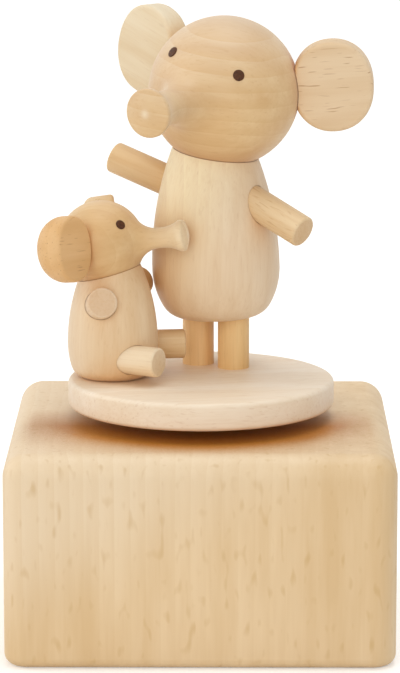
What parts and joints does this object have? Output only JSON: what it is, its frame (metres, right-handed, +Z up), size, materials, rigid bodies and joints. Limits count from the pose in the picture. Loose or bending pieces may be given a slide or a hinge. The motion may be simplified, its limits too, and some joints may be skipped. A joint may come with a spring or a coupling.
{
  "type": "music box",
  "caption": "Beech wind-up music box: a rounded block with a turning disc that carries a standing mother elephant and a sitting baby elephant.",
  "frame": {"origin": "middle of the block's underside, where it stands on the table", "axes": "+Z up along the turntable's axis; the pictured front looks along -Y, +X is the viewer's right"},
  "size_m": [0.08, 0.08, 0.1286],
  "materials": {
    "beech": "matte",
    "pale_beech": "matte",
    "dowel_beech": "matte",
    "dark_wood": "satin",
    "brass": "satin",
    "steel": "brushed",
    "zinc_alloy": "cast"
  },
  "bodies": {
    "base": {"base_block": "beech", "bottom_cover": "pale_beech", "cover_screws": "brass", "bedplate": "zinc_alloy", "movement_screws": "steel", "spring_housing": "brass", "mainspring": "steel", "comb": "steel", "comb_screws": "brass", "governor_frame": "brass", "governor_screws": "steel"},
    "turntable": {"turntable_disc": "pale_beech", "hub_insert": "brass", "winding_arbor": "steel", "crown_wheel": "brass", "ratchet_wheel": "steel", "click": "steel", "baby_screw": "steel", "mother_body": "beech", "mother_head": "beech", "mother_neck_dowel": "dowel_beech", "mother_ear_left": "beech", "mother_ear_right": "beech", "mother_ear_dowels": "dowel_beech", "mother_eyes": "dark_wood", "mother_arm_left": "dowel_beech", "mother_arm_right": "dowel_beech", "mother_leg_left": "dowel_beech", "mother_leg_right": "dowel_beech", "baby_body": "beech", "baby_head": "beech", "baby_neck_dowel": "dowel_beech", "baby_ear_left": "beech", "baby_ear_right": "beech", "baby_ear_dowels": "dowel_beech", "baby_eyes": "dark_wood", "baby_arm_left": "dowel_beech", "baby_arm_right": "dowel_beech", "baby_leg_left": "dowel_beech", "baby_leg_right": "dowel_beech"},
    "cylinder": {"pin_cylinder": "brass", "cylinder_axle": "steel", "cylinder_pinion": "steel", "cylinder_wheel": "brass"},
    "governor_wheel": {"governor_pinion": "steel", "worm_wheel": "brass"},
    "governor": {"governor_worm": "brass", "governor_fan": "steel"}
  },
  "joints": [
    {"name": "turntable_spin", "type": "hinge", "parent": "base", "child": "turntable", "pos_m": [0, 0, 0], "axis": [0, 0, 1], "continuous": true},
    {"name": "cylinder_spin", "type": "hinge", "parent": "base", "child": "cylinder", "pos_m": [0, 0, 0.026], "axis": [1, 0, 0], "continuous": true},
    {"name": "governor_wheel_spin", "type": "hinge", "parent": "base", "child": "governor_wheel", "pos_m": [0, -0.009, 0.026], "axis": [1, 0, 0], "continuous": true},
    {"name": "governor_spin", "type": "hinge", "parent": "base", "child": "governor", "pos_m": [0.02878, -0.0156, 0.026], "axis": [0, 0, 1], "continuous": true}
  ],
  "couplings": [
    {"joint": "cylinder_spin", "follows": "turntable_spin", "ratio": 2.3571},
    {"joint": "governor_wheel_spin", "follows": "turntable_spin", "ratio": -8.25},
    {"joint": "governor_spin", "follows": "turntable_spin", "ratio": -165}
  ]
}
